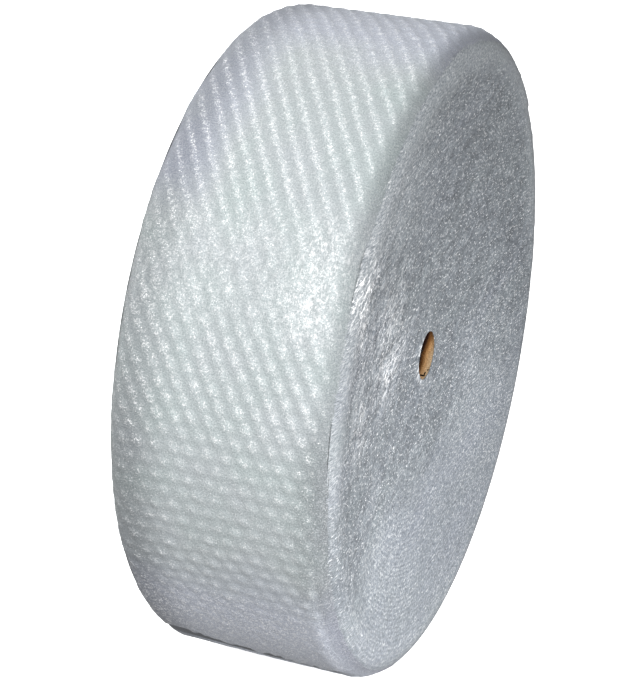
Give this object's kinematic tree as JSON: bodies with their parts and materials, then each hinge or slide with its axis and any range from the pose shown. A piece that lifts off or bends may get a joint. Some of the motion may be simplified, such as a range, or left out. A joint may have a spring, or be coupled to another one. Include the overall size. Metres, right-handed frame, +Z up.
{
  "type": "bubble wrap roll",
  "caption": "Large roll of clear air-bubble cushioning film wound on a small cardboard core, lying on its curved side on a small flat spot.",
  "frame": {"origin": "on the floor at the middle of the flat spot, straight below the roll's axis, midway between the roll's two ends", "axes": "+Z up; +X along the roll's axis towards its dished end; +Y across the roll towards the side where the last turn stops"},
  "size_m": [0.3366, 0.9142, 0.9037],
  "materials": {
    "bubble_film": "clear glossy polyethylene bubble film, many layers deep, milky light grey with fine sparkle",
    "core_board": "plain brown spiral-wound kraft board, matt"
  },
  "bodies": {
    "root": {"bubble_wrap": "bubble_film", "core_tube": "core_board"}
  },
  "joints": []
}
